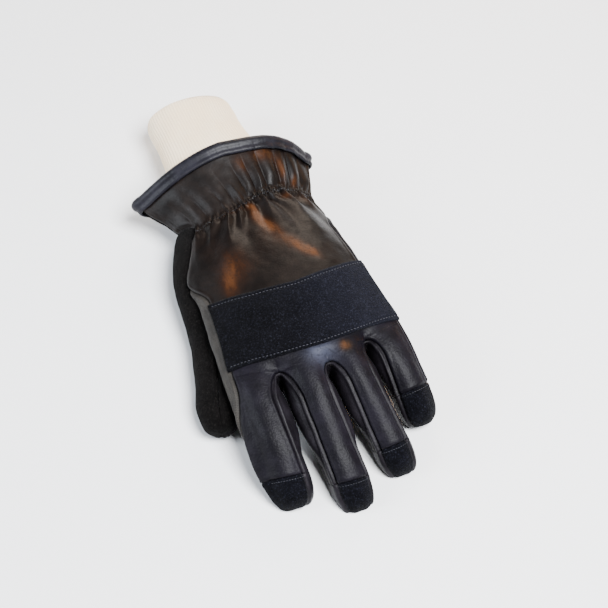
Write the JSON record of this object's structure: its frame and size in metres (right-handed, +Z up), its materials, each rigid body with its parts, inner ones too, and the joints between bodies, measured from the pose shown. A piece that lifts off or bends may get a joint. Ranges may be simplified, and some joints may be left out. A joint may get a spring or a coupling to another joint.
{
  "type": "leather firefighter glove",
  "caption": "Left-hand structural firefighting glove in black leather and suede, with a gathered cuff, knuckle patch, suede fingertips and white knit wristlet, lying palm down",
  "frame": {"origin": "centre of the bounding box's base, on the floor", "axes": "+Z up off the floor, fingers towards -Y, wristlet towards +Y, thumb at -X"},
  "size_m": [0.1305, 0.3021, 0.0564],
  "materials": {
    "smooth_leather": "smooth black-brown leather, half gloss",
    "suede": "black split-leather suede, matt nap",
    "knit": "off-white rib knit"
  },
  "bodies": {
    "root": {"back_panel": "smooth_leather", "finger_back_panel": "smooth_leather", "fourchette_index_middle": "smooth_leather", "fourchette_middle_ring": "smooth_leather", "fourchette_ring_little": "smooth_leather", "index_side_gusset": "smooth_leather", "little_side_gusset": "smooth_leather", "cuff_binding": "smooth_leather", "knuckle_panel": "suede", "fingertip_index": "suede", "fingertip_middle": "suede", "fingertip_ring": "suede", "fingertip_little": "suede", "palm_panel": "suede", "palm_finger_panel": "suede", "thumb_back": "suede", "thumb_front": "suede", "wristlet_tab": "suede", "wristlet": "knit"}
  },
  "joints": []
}
